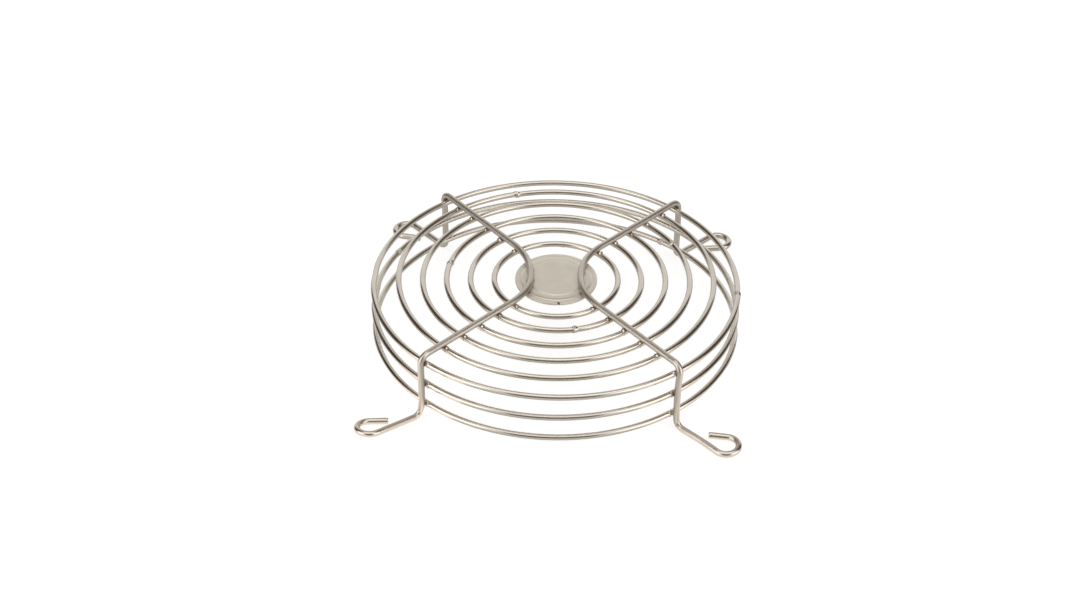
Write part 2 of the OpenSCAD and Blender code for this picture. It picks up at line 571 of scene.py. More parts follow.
    def _cap(
        self, end: int, beside: int, skin: dict[str, np.ndarray], faces: list[list[int]]
    ) -> None:
        """Closes a sheared end with a slightly hollow face.

        Args:
            end: Section that the face closes.
            beside: The section next to it.
            skin: Values per point, lengthened in place.
            faces: Face list, added to in place.
        """
        m = self.sides
        rim, inner = (skin["verts"][k * m : (k + 1) * m] for k in (end, beside))
        middle = rim.mean(axis=0)
        away = unit(middle - inner.mean(axis=0))
        rings = [middle + (rim - middle) * size + away * rise for size, rise in self.cap]
        start, shares = len(skin["verts"]), [1.0, *(size for size, _ in self.cap)]
        tip = start + len(shares) * m
        place = np.tile([0.0, 0.0, self.line.run[end]], (tip - start + 1, 1))
        sector = np.tile(skin["wire_place"][:m, :2], (len(shares), 1))
        place[:-1, :2] = sector * np.repeat(shares, m)[:, None]
        added = {
            "verts": np.concatenate([rim, *rings, (middle + away * self.cap_middle)[None]]),
            "wire_place": place,
            "weld_heat": np.zeros(len(place)),
            "butt_weld": np.zeros(len(place)),
            "cut_face": np.ones(len(place)),
        }
        for name, values in added.items():
            skin[name] = np.concatenate([skin[name], values])
        step = [(j, (j + 1) % m) for j in range(m)]
        corners = [(k + a, k + b) for k in range(start, tip - m, m) for a, b in step]
        cap = [[a, b, b + m, a + m] for a, b in corners]
        cap += [[tip - m + a, tip - m + b, tip] for a, b in step]
        faces.extend(cap if end else [face[::-1] for face in cap])


def place_object(name: str, data: bpy.types.ID) -> bpy.types.Object:
    """Makes an object and links it to the scene.

    Args:
        name: Name of the object.
        data: Its mesh, light or camera.

    Returns:
        The object.
    """
    made = bpy.data.objects.new(name, data)
    bpy.context.scene.collection.objects.link(made)
    return made


def new_piece(
    name: str, verts: np.ndarray, faces: list[list[int]], **skin: np.ndarray
) -> bpy.types.Object:
    """Makes a smooth mesh object that keeps values on its points.

    Args:
        name: Name of the piece.
        verts: Its points, in millimetres.
        faces: Its faces, as lists of points.
        **skin: One value or one vector per point, by attribute name.

    Returns:
        The new object, in metres.
    """
    mesh = bpy.data.meshes.new(name)
    mesh.from_pydata((verts * MM).tolist(), [], faces)
    mesh.polygons.foreach_set("use_smooth", [True] * len(mesh.polygons))
    for label, values in skin.items():
        kind, slot = ("FLOAT_VECTOR", "vector") if values.ndim == 2 else ("FLOAT", "value")
        layer = mesh.attributes.new(label, kind, "POINT")
        layer.data.foreach_set(slot, values.astype(np.float32).ravel())
    mesh.update()
    return place_object(name, mesh)


@dataclass(frozen=True)
class Stretch:
    """One straight or bent stretch of formed wire, in its own frame."""

    frame: Matrix  # Where the stretch starts: it runs along X and bends towards Y
    length: float  # Length of the middle line
    radius: float  # Bend radius, or 0 for a straight

    def at(self, run: float) -> Vector:
        """The point at a distance along the stretch.

        Args:
            run: The distance.

        Returns:
            The point.
        """
        if not self.radius:
            return self.frame @ Vector((run, 0, 0))
        turn, r = run / self.radius, self.radius
        return self.frame @ Vector((r * math.sin(turn), r * (1 - math.cos(turn)), 0))


# Shared shader effects


class Graph:
    """Short way to place and join shader nodes."""

    def __init__(self, tree: bpy.types.NodeTree) -> None:
        """Takes the material's, world's or group's node tree to add to."""
        self.tree = tree

    @classmethod
    def of(cls, owner: bpy.types.Material | bpy.types.World) -> "Graph":
        """Starts an emptied node tree.

        Args:
            owner: The material or world.

        Returns:
            Its graph.
        """
        owner.use_nodes = True
        owner.node_tree.nodes.clear()
        return cls(owner.node_tree)

    def feed(self, slot: Socket, value: object) -> None:
        """Fills an input.

        Args:
            slot: The input.
            value: A socket to join to it, or a number or colour.
        """
        if isinstance(value, Socket):
            self.tree.links.new(value, slot)
        else:
            slot.default_value = value

    def add(self, kind: str, **values: object) -> bpy.types.Node:
        """Places a node.

        Args:
            kind: Node type without its ShaderNode prefix, or a full type name.
            **values: The node's properties, and a socket or a value for any of its inputs.

        Returns:
            The node.
        """
        node = self.tree.nodes.new(kind if kind.startswith("Node") else "ShaderNode" + kind)
        for key, value in values.items():
            if hasattr(node, key):
                setattr(node, key, value)
            else:
                self.feed(node.inputs[key.replace("_", " ")], value)
        return node

    def mask(self, name: str) -> Socket:
        """Reads a piece's own attribute of one value per point."""
        return self.add("Attribute", attribute_name=name).outputs["Fac"]

    def math(self, operation: str, a: object, b: object, clamp: bool = False) -> Socket:
        """Adds a Math node.

        Args:
            operation: Its operation.
            a: First number or socket.
            b: Second number or socket.
            clamp: Whether to clamp the result.

        Returns:
            The node's output.
        """
        node = self.add("Math", operation=operation, use_clamp=clamp)
        for slot, value in zip(node.inputs, (a, b)):
            self.feed(slot, value)
        return node.outputs[0]

    def plus(self, base: object, extra: Socket, share: object, clamp: bool = False) -> Socket:
        """Adds a share of one value to another."""
        return self.math("ADD", base, self.math("MULTIPLY", extra, share), clamp)

    def blend(self, share: Socket, a: object, b: object) -> Socket:
        """Mixes two colours or sockets.

        Args:
            share: Share of the second colour.
            a: First colour.
            b: Second colour.

        Returns:
            The mixed colour.
        """
        node = self.add("Mix", data_type="RGBA", Factor=share)
        self.feed(node.inputs[6], a)
        self.feed(node.inputs[7], b)
        return node.outputs[2]

    def ramp(
        self, value: Socket, low: float, high: float, a: float = 0.0, b: float = 1.0
    ) -> Socket:
        """Adds a smooth Map Range from low..high to a..b.

        Args:
            value: The socket to map.
            low: Input that gives a.
            high: Input that gives b.
            a: Result at low.
            b: Result at high.

        Returns:
            The mapped value.
        """
        node = self.add("MapRange", interpolation_type="SMOOTHSTEP")
        for slot, given in zip(node.inputs, (value, low, high, a, b)):
            self.feed(slot, given)
        return node.outputs[0]


def new_group(
    name: str, inputs: dict[str, tuple[str, object]], outputs: dict[str, str]
) -> tuple[Graph, bpy.types.NodeOutputs, bpy.types.NodeInputs]:
    """Starts a shader node group.

    Args:
        name: Name of the group.
        inputs: Socket kind and default per input name.
        outputs: Socket kind per output name.

    Returns:
        The group's graph, the sockets that it is given and those that it makes.
    """
    tree = bpy.data.node_groups.new(name, "ShaderNodeTree")
    for label, (kind, value) in inputs.items():
        socket = tree.interface.new_socket(label, in_out="INPUT", socket_type=kind)
        if value is not None:
            socket.default_value = value
    for label, kind in outputs.items():
        tree.interface.new_socket(label, in_out="OUTPUT", socket_type=kind)
    graph = Graph(tree)
    return graph, graph.add("NodeGroupInput").outputs, graph.add("NodeGroupOutput").inputs


class SharedEffects:
    """Builds the node groups that the guard's finishes share."""

    def __init__(self) -> None:
        """Builds every group once."""
        self.drawn_lines = self._drawn_lines()
        self.mottle = self._mottle()
        self.weld_tint_and_shade_group = self._weld_tint_and_shade_group()

    @staticmethod
    def _drawn_lines() -> bpy.types.NodeTree:
        """Fine die lines along drawn wire.

        Returns:
            A group from the place on the wire to the lines' height and a streak mask.
        """
        g, given, made = new_group(
            "Drawn Wire Lines",
            {"Place": (VECTOR, None), "Fineness": (FLOAT, 14.0), "Stretch": (FLOAT, 0.02)},
            {"Height": FLOAT, "Streaks": FLOAT},
        )
        x, y, run = g.add("SeparateXYZ", Vector=given["Place"]).outputs
        drawn_out = g.math("MULTIPLY", run, given["Stretch"])
        place = g.add("CombineXYZ", X=x, Y=y, Z=drawn_out).outputs[0]
        fineness = given["Fineness"]
        lines = g.add("TexNoise", Vector=place, Scale=fineness, Detail=3.0, Roughness=0.6)
        g.feed(made["Height"], lines.outputs[0])
        broad = g.add("TexNoise", Vector=place, Scale=2.2, Detail=2.0)
        g.feed(made["Streaks"], g.ramp(broad.outputs[0], low=0.35, high=0.68))
        return g.tree

    @staticmethod
    def _mottle() -> bpy.types.NodeTree:
        """Uneven thickness and fine grain of the plating.

        Returns:
            A group from scales to a cloud mask and a grain value.
        """
        g, given, made = new_group(
            "Plating Mottle",
            {"Cloud Scale": (FLOAT, 90.0), "Grain Scale": (FLOAT, 1500.0)},
            {"Clouds": FLOAT, "Grain": FLOAT},
        )
        where = g.add("TexCoord").outputs["Object"]
        scale = given["Cloud Scale"]
        clouds = g.add("TexNoise", Vector=where, Scale=scale, Detail=4.0, Roughness=0.55)
        g.feed(made["Clouds"], g.ramp(clouds.outputs[0], low=0.3, high=0.7))
        scale = given["Grain Scale"]
        grain = g.add("TexNoise", Vector=where, Scale=scale, Detail=2.0, Roughness=0.6)
        g.feed(made["Grain"], grain.outputs[0])
        return g.tree

    @staticmethod
    def _weld_tint_and_shade_group() -> bpy.types.NodeTree:
        """Oxide tint round a weld under thin plating. Its darkest part is painted shade in the
        weld's crevices, on its lips and where wires touch.

        Returns:
            A group from a clean colour and the weld's tint and painted shade to the tinted colour
            and its mask.
        """
        g, given, made = new_group(
            "Weld Tint And Shade",
            {
                "Clean": (COLOR, (0.6, 0.55, 0.5, 1.0)),
                "Halo": (COLOR, (0.4, 0.3, 0.2, 1.0)),
                # Dark weld oxide, also used as painted shade
                "Oxide": (COLOR, (0.12, 0.08, 0.05, 1.0)),
                "Tint And Shade": (FLOAT, 0.0),
                "Breakup": (FLOAT, 0.5),
            },
            {"Tinted": COLOR, "Mask": FLOAT},
        )
        heat = given["Tint And Shade"]
        broken = g.plus(heat, g.math("SUBTRACT", given["Breakup"], 0.5), 0.5)
        spread_tint_and_shade = g.math("MULTIPLY", broken, g.ramp(heat, low=0.02, high=0.2))
        # Darkest part: oxide colour, also painted shade in crevices, on lips and at contacts
        oxide_and_shade = g.ramp(spread_tint_and_shade, low=0.62, high=1.05)
        halo = g.ramp(spread_tint_and_shade, low=0.15, high=0.75)
        around = g.blend(halo, given["Clean"], given["Halo"])
        g.feed(made["Tinted"], g.blend(oxide_and_shade, around, given["Oxide"]))
        g.feed(made["Mask"], oxide_and_shade)
        return g.tree


# Finishes


class MaterialSlot(Enum):
    """Material slots for the guard's three finishes."""

    SUPPORT_WIRE = "support_wire"
    RING_WIRE = "ring_wire"
    HUB_DISC = "hub_disc"


@dataclass(frozen=True)
class PlatedWireFinish:
    """Nickel plate over drawn steel wire."""

    name: str
    light: Colour  # Colour of bright plating
    dull: Colour  # Colour where the plating is thinner
    halo: Colour = (0.43, 0.34, 0.27, 1.0)  # Warm tint round a weld
    oxide_and_shade: Colour = (0.20, 0.15, 0.11, 1.0)  # Colour of a weld's burnt metal, also painted shade in its crevice and on its lips
    sheared: Colour = (0.50, 0.49, 0.46, 1.0)  # Colour of a cut end
    gloss: float = 0.16  # Roughness of clean plating
    worn: float = 0.26  # Roughness of dull plating
    lines: float = 0.25  # Strength of the die lines
    grain: float = 0.05  # Strength of the plating's grain
    handled: float = 0.0  # How much smoother the plating is near the ends
    collar: float = 0.06  # How much smoother it is on a butt weld
    burnt_rough: float = 0.35  # How much rougher burnt metal is
    heated_rough: float = 0.12  # How much rougher heated plating is
    sheared_rough: float = 0.2  # How much rougher a cut end is
    burnt_grain: float = 2.0  # Strength of the grain of burnt metal
    relief: float = 0.35  # Strength of the bumps
    relief_depth: float = 0.00004  # Their depth, in metres

    def material(self, effects: SharedEffects) -> bpy.types.Material:
        """Makes the material.

        Args:
            effects: The shared node groups.

        Returns:
            A procedural material that reads the wire's own attributes.
        """
        made = bpy.data.materials.new(self.name)
        g = Graph.of(made)
        heat, cut, formed = (g.mask(name) for name in ("weld_heat", "cut_face", "formed_end"))
        place = g.add("Attribute", attribute_name="wire_place").outputs["Vector"]
        drawn = g.add("Group", node_tree=effects.drawn_lines, Place=place)
        mottle = g.add("Group", node_tree=effects.mottle)
        clouds, grain = mottle.outputs["Clouds"], mottle.outputs["Grain"]
        uneven = g.math("MULTIPLY", g.math("ADD", drawn.outputs["Streaks"], clouds), 0.5)
        clean = g.blend(cut, g.blend(uneven, self.light, self.dull), self.sheared)
        # Weld tint, with painted shade in the welds' crevices and on their lips
        tint = g.add("Group", node_tree=effects.weld_tint_and_shade_group, Halo=self.halo, Oxide=self.oxide_and_shade)
        for label, value in (("Clean", clean), ("Tint And Shade", heat), ("Breakup", clouds)):
            g.feed(tint.inputs[label], value)
        burn_and_shade_mask = tint.outputs["Mask"]
        rough = g.ramp(uneven, 0.0, 1.0, self.gloss, self.worn)
        rougher = ((burn_and_shade_mask, self.burnt_rough), (cut, self.sheared_rough), (heat, self.heated_rough))
        for mask, share in rougher:
            rough = g.plus(rough, mask, share)
        rough = g.math("SUBTRACT", rough, g.math("MULTIPLY", formed, self.handled))
        smoother = g.math("MULTIPLY", g.mask("butt_weld"), self.collar)
        rough = g.math("SUBTRACT", rough, smoother, clamp=True)
        lines = g.math("MULTIPLY", drawn.outputs["Height"], self.lines)
        height = g.plus(lines, grain, self.grain)
        height = g.plus(height, g.math("MULTIPLY", burn_and_shade_mask, grain), self.burnt_grain)
        bump = g.add("Bump", Strength=self.relief, Distance=self.relief_depth, Height=height)
        metal = g.add("BsdfPrincipled", Metallic=1.0, Roughness=rough, Normal=bump.outputs[0])
        g.feed(metal.inputs["Base Color"], tint.outputs["Tinted"])
        g.add("OutputMaterial", Surface=metal.outputs[0])
        return made


@dataclass(frozen=True)
class PressedSheetFinish:
    """Satin nickel plate over pressed steel sheet, with painted shade at the feet of its steps and
    at its rim.
    """

    name: str
    light: Colour  # Colour of clean plating
    dull: Colour  # Colour of cloudy patches
    edge: Colour  # Darker colour painted as shade at the feet of the steps and at the rim
    halo: Colour = (0.30, 0.24, 0.18, 1.0)  # Warm tint round a weld
    oxide_and_shade: Colour = (0.09, 0.062, 0.045, 1.0)  # Colour of a weld's burnt metal, also painted shade where a support wire touches the disc
    satin: float = 0.58  # Roughness of the flat field
    pressed: float = 0.34  # Roughness of the pressed steps
    cloudy: float = 0.08  # How much the cloudy patches change that
    relief: float = 0.3  # Strength of the grain's bumps
    relief_depth: float = 0.00003  # Their depth, in metres

    def material(self, effects: SharedEffects) -> bpy.types.Material:
        """Makes the material.

        Args:
            effects: The shared node groups.

        Returns:
            A procedural material that reads the disc's own attributes.
        """
        made = bpy.data.materials.new(self.name)
        g = Graph.of(made)
        press = g.mask("press_edge")
        mottle = g.add("Group", node_tree=effects.mottle, Cloud_Scale=160.0, Grain_Scale=2600.0)
        clouds, grain = mottle.outputs["Clouds"], mottle.outputs["Grain"]
        # The press bands are painted darker here, as shade at the steps' feet and the rim
        clean = g.blend(press, g.blend(clouds, self.light, self.dull), self.edge)
        tint = g.add("Group", node_tree=effects.weld_tint_and_shade_group, Halo=self.halo, Oxide=self.oxide_and_shade)
        for label, value in (("Clean", clean), ("Tint And Shade", g.mask("weld_heat")), ("Breakup", clouds)):
            g.feed(tint.inputs[label], value)
        rough = g.ramp(press, 0.0, 1.0, self.satin, self.pressed)
        rough = g.plus(rough, g.math("SUBTRACT", clouds, 0.5), self.cloudy, clamp=True)
        bump = g.add("Bump", Strength=self.relief, Distance=self.relief_depth, Height=grain)
        metal = g.add("BsdfPrincipled", Metallic=1.0, Roughness=rough, Normal=bump.outputs[0])
        g.feed(metal.inputs["Base Color"], tint.outputs["Tinted"])
        g.add("OutputMaterial", Surface=metal.outputs[0])
        return made


# Sub-assemblies


@dataclass(frozen=True)
class ArmSet:
    """How one arm and its foot lie off their drawn places, as bending and welding left them."""

    aside: float  # Shift of arm and leg round the axis, in millimetres, anticlockwise from above
    lean: float = 0.0  # Further shift of the leg below its corner
    climb: float = 0.0  # Rise of the foot for each millimetre from its leg
    twist: float = 0.0  # Rise across the foot for each millimetre towards the eye
    ankle: float = 0.0  # Further shift of the bend between leg and foot


@dataclass
class SupportWires:
    """The two bent wires that carry the rings and end in the screw eyes."""

    sizes: GuardSizes
    basket_r: float  # Radius of the rim's and the side rings' middle lines
    # How each wire's front arm is set, by side
    front: dict[int, ArmSet] = field(
        default_factory=lambda: {
            -1: ArmSet(0.65, 0.2, 0.148, -0.11, -0.75),
            1: ArmSet(-0.16, -0.75, 0.0, 0.07, 0.25),
        }
    )
    # How each wire's back arm is set, by side
    back: dict[int, ArmSet] = field(
        default_factory=lambda: {-1: ArmSet(0.45, -0.40), 1: ArmSet(0.35, -0.27)}
    )
    bow: float = 0.12  # How far a wire's arms wander sideways
    drop: float = 0.05  # How far they hang in places
    sag: float = 0.008  # How far they hang all along
    straight_step: float = 0.45  # Distance between sections of a straight
    bend_step: float = 0.3  # The same for a bend
    hub_step: float = 0.4  # The same for the wide bend beside the hub

    @property
    def leg_r(self) -> float:
        """Distance of the legs' middle lines from the axis."""
        return self.basket_r + self.sizes.wire_seat

    def foot(self) -> Pair:
        """Direction and length of the +X +Y foot, from its leg to its eye.

        Returns:
            The angle from +X in radians, and the length in millimetres.
        """
        s = self.sizes
        dx = s.screw_spacing / 2 - self.leg_r * math.cos(s.arm_angle)
        dy = s.screw_spacing / 2 - self.leg_r * math.sin(s.arm_angle)
        reach = math.hypot(dx, dy)
        angle = math.atan2(dy, dx) + math.asin(s.eye_r / reach)
        return angle, math.sqrt(reach * reach - s.eye_r * s.eye_r)

    def half(self) -> list[Stretch]:
        """Stretches of one quarter of the frame, from the middle of the hub bend to the free end.

        Returns:
            The stretches in order, all on the +X +Y quarter.
        """
        s, quarter = self.sizes, QUARTER_TURN
        foot_angle, foot_len = self.foot()
        arm_len = self.leg_r - s.corner_bend_r - s.hub_tangent_r
        leg_len = s.rim_z - s.foot_z - s.foot_bend_r
        steps = [
            (arm_len, -quarter, s.corner_bend_r, quarter),
            (leg_len, math.pi - foot_angle + s.arm_angle, s.foot_bend_r, quarter),
            (foot_len - s.foot_bend_r, quarter, s.eye_r, math.radians(s.eye_wrap)),
            (s.eye_tail, 0.0, 0.0, 0.0),
        ]
        start = Matrix(((0, 1, 0, s.hub_near_r), (1, 0, 0, 0), (0, 0, -1, s.arm_z), (0, 0, 0, 1)))
        found = [Stretch(start, s.hub_bend_r * (quarter - s.arm_angle), s.hub_bend_r)]
        shift, turn = Matrix.Translation, Matrix.Rotation
        frame = turn(s.arm_angle, 4, "Z") @ shift((s.hub_tangent_r, 0, s.arm_z))
        for feed, roll, radius, angle in steps:
            found.append(Stretch(frame, feed, 0.0))
            frame = frame @ shift((feed, 0, 0)) @ turn(roll, 4, "X")
            if radius:
                found.append(Stretch(frame, radius * angle, radius))
                frame = frame @ shift((0, radius, 0)) @ turn(angle, 4, "Z") @ shift((0, -radius, 0))
        return found

    def line(self, side: int) -> Centreline:
        """Middle line of one support wire, from free end to free end.

        Args:
            side: 1 for the right wire, -1 for the left.

        Returns:
            An open centreline.
        """
        points, runs, walked = [], [], 0.0
        for stretch in self.half():
            step = self.bend_step if stretch.radius else self.straight_step
            if stretch.radius == self.sizes.hub_bend_r:
                step = self.hub_step
            count = max(2, math.ceil(stretch.length / step))
            for k in range(count):
                points.append(stretch.at(stretch.length * k / count)[:])
                runs.append(walked + stretch.length * k / count)
            walked += stretch.length
        for back in (0.12, 0.05, 0.0):
            points.append(stretch.at(stretch.length - back)[:])
            runs.append(walked - back)
        half, run = np.array(points), np.array(runs)
        apart = np.concatenate([[True], np.diff(run) > 0.03])
        half, run = half[apart], run[apart]
        whole = np.concatenate([(half * [1, -1, 1])[:0:-1], half])
        along = np.concatenate([-run[:0:-1], run]) + run[-1]
        seed = 40 + side
        bow = self.bow * smooth_noise(along, along[-1], seed, 5, False)
        drop = self.drop * smooth_noise(along, along[-1], seed + 9, 5, False)
        drop = np.minimum(drop, 0) - self.sag
        tangent = unit(np.gradient(whole, along, axis=0))
        flat = unit(np.cross(tangent, [0.0, 0.0, 1.0]) + 1e-6)
        ease = np.clip(1 - np.abs(whole[:, 2] - self.sizes.arm_z) / 2.0, 0, 1)
        whole = whole + flat * (bow * ease)[:, None]
        whole = whole + np.array([0, 0, 1.0]) * (drop * ease)[:, None]
        return Centreline.along(self._as_built(whole * [side, 1, 1], side), along)

    def _as_built(self, points: np.ndarray, side: int) -> np.ndarray:
        """Moves a wire's middle line from its drawn place to where it was welded.

        Args:
            points: Drawn middle line.
            side: 1 for the right wire, -1 for the left.

        Returns:
            The moved middle line.
        """
        s = self.sizes
        radius = np.hypot(points[:, 0], points[:, 1])
        share = 0.5 + 0.5 * np.tanh(points[:, 1] / 5.0)
        below = np.clip((s.arm_z - points[:, 2]) / 7.0, 0, 1)
        low = np.clip((7.0 - points[:, 2]) / 4.5, 0, 1)
        sets = (self.front[side], self.back[side])
        ahead, behind = (arm.aside + arm.lean * below + arm.ankle * low for arm in sets)
        aside = ahead * (1 - share) + behind * share
        aside *= 1 - np.clip((radius - self.leg_r) / 10.0, 0, 1)
        way = np.stack([-points[:, 1], points[:, 0], np.zeros_like(radius)], -1) / radius[:, None]
        moved = points + way * aside[:, None]
        angle = self.foot()[0]
        leg = self.leg_r * np.array([math.cos(s.arm_angle), math.sin(s.arm_angle)])
        for end, arm in zip((-1, 1), sets):
            rel = points[:, :2] * np.array([side, end]) - leg
            forth = rel @ [math.cos(angle), math.sin(angle)]
            across = rel @ [math.sin(angle), -math.cos(angle)]
            on_foot = (points[:, 2] < s.foot_bend_r + 1) & (points[:, 1] * end > 0) & (forth > 0)
            reach = np.where(on_foot, forth, 0.0)
            moved[:, 2] += arm.climb * reach**2 / (reach + 2.5)
            moved[:, 2] += arm.twist * across * np.clip(reach / 8, 0, 1)
        return moved

    def pinches(self, line: Centreline) -> list[Pinch]:
        """Marks that the bending tool leaves beside the corner and foot bends.

        Args:
            line: The wire's middle line.

        Returns:
            The marks, two to a bend.
        """
        marks = []
        lengths = np.cumsum([0.0] + [stretch.length for stretch in self.half()])
        for index, depth in ((2, 0.05), (4, 0.09)):
            middle = (lengths[index] + lengths[index + 1]) / 2
            for run in (line.length / 2 + middle, line.length / 2 - middle):
                k = int(np.argmin(np.abs(line.run - run)))
                inward = line.points[k - 3] + line.points[k + 3] - 2 * line.points[k]
                angle = math.atan2(float(inward @ line.lift[k]), float(inward @ line.side[k]))
                marks += [Pinch(run, angle + 0.5, depth), Pinch(run, angle - 0.5, depth)]
        return marks


@dataclass(frozen=True)
class RingPlan:
    """One welded ring."""

    node: str
    height: float  # Height of its middle line
    butt_angle: float  # Where its ends are butt welded, in degrees from +X
    butt_size: float  # How much of a full collar that weld left
    # How the ring was set: its swell, then the cosine and sine parts of one, two and three waves
    # round it, then its rise, all in hundredths of a millimetre
    trim: tuple[float, ...]
    wobble: float = 0.12  # Largest distance by which its small bends miss a true circle
    fine: Pair = (2.4, 0.1)  # Reach and step of the closer sections near a weld
    least: float = 0.05  # Least distance between sections

    def line(self, radius: float, corners: list[float], seed: int) -> Centreline:
        """Middle line of the rolled ring, from its butt weld round.

        Args:
            radius: Radius of the middle line.
            corners: Angles of its welds to the support wires, in degrees.
            seed: Seed of the ring's unevenness.

        Returns:
            A closed centreline.
        """
        start, (swell, *parts, lifted) = self.butt_angle, (part / 100 for part in self.trim)
        reach, step = self.fine
        coarse = np.linspace(0, 360, max(96, int(radius * 8)), endpoint=False)
        turns = set(np.round(coarse, 4))
        for angle in [*corners, start]:
            for shift in np.arange(-reach, reach + step / 10, step):
                turns.add(round((angle - start + math.degrees(shift / radius)) % 360, 4))
        turn = np.array(sorted(turns))
        gaps = np.diff(np.concatenate([turn, [turn[0] + 360]]))
        turn = np.radians(turn[gaps > math.degrees(self.least / radius)] + start)
        run = (turn - turn[0]) * radius
        side = np.stack([np.cos(turn), np.sin(turn), np.zeros_like(turn)], -1)
        up = np.tile([0.0, 0.0, 1.0], (len(turn), 1))
        length = FULL_TURN * radius
        off = self.wobble * smooth_noise(run, length, seed, 4, True) + swell
        for k, (cosine, sine) in enumerate(zip(parts[::2], parts[1::2]), 1):
            off += cosine * np.cos(k * turn) + sine * np.sin(k * turn)
        rise = 0.5 * self.wobble * smooth_noise(run, length, seed + 1, 3, True) + lifted
        points = side * (radius + off)[:, None] + up * (self.height + rise)[:, None]
        points[:, :2] = np.clip(points[:, :2], -BASKET_LIMIT, BASKET_LIMIT)
        return Centreline(points, side, up, run, True)


@dataclass
class Guard:
    """The whole welded guard."""

    sizes: GuardSizes
    effects: SharedEffects
    ring_form: Squeeze = Squeeze(lip=0.36)  # Form of the rings' metal at their welds
  
    wire_finish: PlatedWireFinish = PlatedWireFinish(
        "support_wire_nickel",
        light=(0.62, 0.564, 0.498, 1.0),
        dull=(0.53, 0.478, 0.417, 1.0),
        gloss=0.31,
        worn=0.38,
        lines=0.07,
        handled=0.11,
    )
  
    ring_finish: PlatedWireFinish = PlatedWireFinish(
        "ring_wire_nickel",
        light=(0.66, 0.61, 0.538, 1.0),
        dull=(0.57, 0.52, 0.452, 1.0),
        gloss=0.14,
        worn=0.19,
        lines=0.08,
    )
  
    disc_finish: PressedSheetFinish = PressedSheetFinish(
        "hub_disc_nickel",
        light=(0.785, 0.742, 0.655, 1.0),
        dull=(0.743, 0.70, 0.617, 1.0),
        edge=(0.70, 0.66, 0.583, 1.0),
    )

    def plans(self) -> list[RingPlan]:
        """Plans of the eight rings.

        Returns:
            The plans, from the innermost ring to the lowest.
        """
        s = self.sizes
        plans = (
            ("grille_ring_1", s.grille_z, 86, 0.3, (1, 2, -17, 5, 1, -4, 3, -8)),
            ("grille_ring_2", s.grille_z, -75.5, 1, (-14, -6, 7, 1, -5, -5, -1, 3)),
            ("grille_ring_3", s.grille_z, 170, 1, (-14, -3, 15, 7, 9, 4, -2, 7)),
            ("grille_ring_4", s.grille_z, 30, 1, (-12, 8, 24, 12, -5, -1, 18, 10)),
            ("grille_ring_5", s.grille_z, 108, 1, (-2, 0, 5, 1, -4, 3, 35, 2)),
            ("rim_ring", s.rim_z, -3, 1, (3, -3, -3, 12, -3, -6, 20, -1)),
            ("upper_side_ring", s.upper_ring_z, 156, 1, (6, -8, 2, 11, -6, -5, 20, 2)),
            ("lower_side_ring", s.lower_ring_z, 54, 1, (8, 5, 2, 15, 5, 4, 20, 2)),
        )
        return [RingPlan(*plan) for plan in plans]

    def radius(self, node: str) -> float:
        """Radius of a ring's middle line in millimetres, from its node's box."""
        low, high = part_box(node)
        return min(abs(v) for v in (*low[:2], *high[:2])) / MM - self.sizes.ring_wire_d / 2

    @staticmethod
    def crossing(wire: Centreline, end: int, radius: float, height: float) -> float:
        """Angle from +X at which a ring crosses one arm of a support wire.

        Args:
            wire: The support wire's middle line.
            end: 1 for the back arm, -1 for the front one.
            radius: The ring's radius.
            height: The ring's height.

        Returns:
            The angle in degrees, from 0 to 360.
        """
        x, y, z = wire.points.T
        gap = np.hypot(np.hypot(x, y) - radius, z - height) + np.where(y * end > 0, 0.0, 1e6)
        spot = int(np.argmin(gap))
        return math.degrees(math.atan2(y[spot], x[spot])) % 360

    def build(self) -> None:
        """Builds every piece, dresses it and sets it on the guard's body."""
        s = self.sizes
        wire_r, ring_r = s.frame_wire_d / 2, s.ring_wire_d / 2
        support = SupportWires(s, self.radius("rim_ring"))
        frame_lines = {side: support.line(side) for side in (1, -1)}
        wire_joints: dict[int, list[Joint]] = {1: [], -1: []}
        arms = [(side, end) for side in (1, -1) for end in (1, -1)]
        ring_material = self.ring_finish.material(self.effects)
        for order, plan in enumerate(self.plans()):
            radius, z = self.radius(plan.node), plan.height
            corners = [self.crossing(frame_lines[side], end, radius, z) for side, end in arms]
            line = plan.line(radius, corners, 100 + order)
            joints = []
            for (side, _), corner in zip(arms, corners):
                turn = math.radians(corner)
                spot = np.array([radius * math.cos(turn), radius * math.sin(turn), z])
                other = frame_lines[side].near(spot)
                touch = other.points[np.argmin(np.linalg.norm(other.points - spot, axis=1))]
                place = (spot + touch) / 2
                joints.append(Joint(place, other, wire_r))
                wire_joints[side].append(Joint(place, line.near(spot), ring_r))
            seed, name = 60 + order, "welded_" + plan.node
            butt = ButtWeld(seed, plan.butt_size)
            wire = RoundWire(name, line, ring_r, 28, seed, joints, self.ring_form, butt)
            self._dress(wire.build(), plan.node, ring_material, MaterialSlot.RING_WIRE)
        wire_material = self.wire_finish.material(self.effects)
        for side, node in ((1, "right_support_wire"), (-1, "left_support_wire")):
            line = frame_lines[side]
            wire = RoundWire("formed_" + node, line, wire_r, 32, 80 + side, wire_joints[side])
            wire.pinches = support.pinches(line)
            wire.formed = support.half()[-2].length + s.eye_tail + 3.0
            self._dress(wire.build(), node, wire_material, MaterialSlot.SUPPORT_WIRE)
        disc, disc_material = HubDisc(s), self.disc_finish.material(self.effects)
        self._dress(disc.build(), "hub_disc", disc_material, MaterialSlot.HUB_DISC)

    @staticmethod
    def _dress(
        piece: bpy.types.Object, node: str, material: bpy.types.Material, slot: MaterialSlot
    ) -> None:
        """Gives a piece its finish and lets it stand for its CAD node.

        Args:
            piece: The piece.
            node: The node that it replaces.
            material: Its finish.
            slot: Not used.
        """
        piece.data.materials.append(material)
        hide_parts(node)
        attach(piece, "root")
        points, faces = len(piece.data.vertices), len(piece.data.polygons)
        LOG.info("%s: %d points, %d faces", piece.name, points, faces)


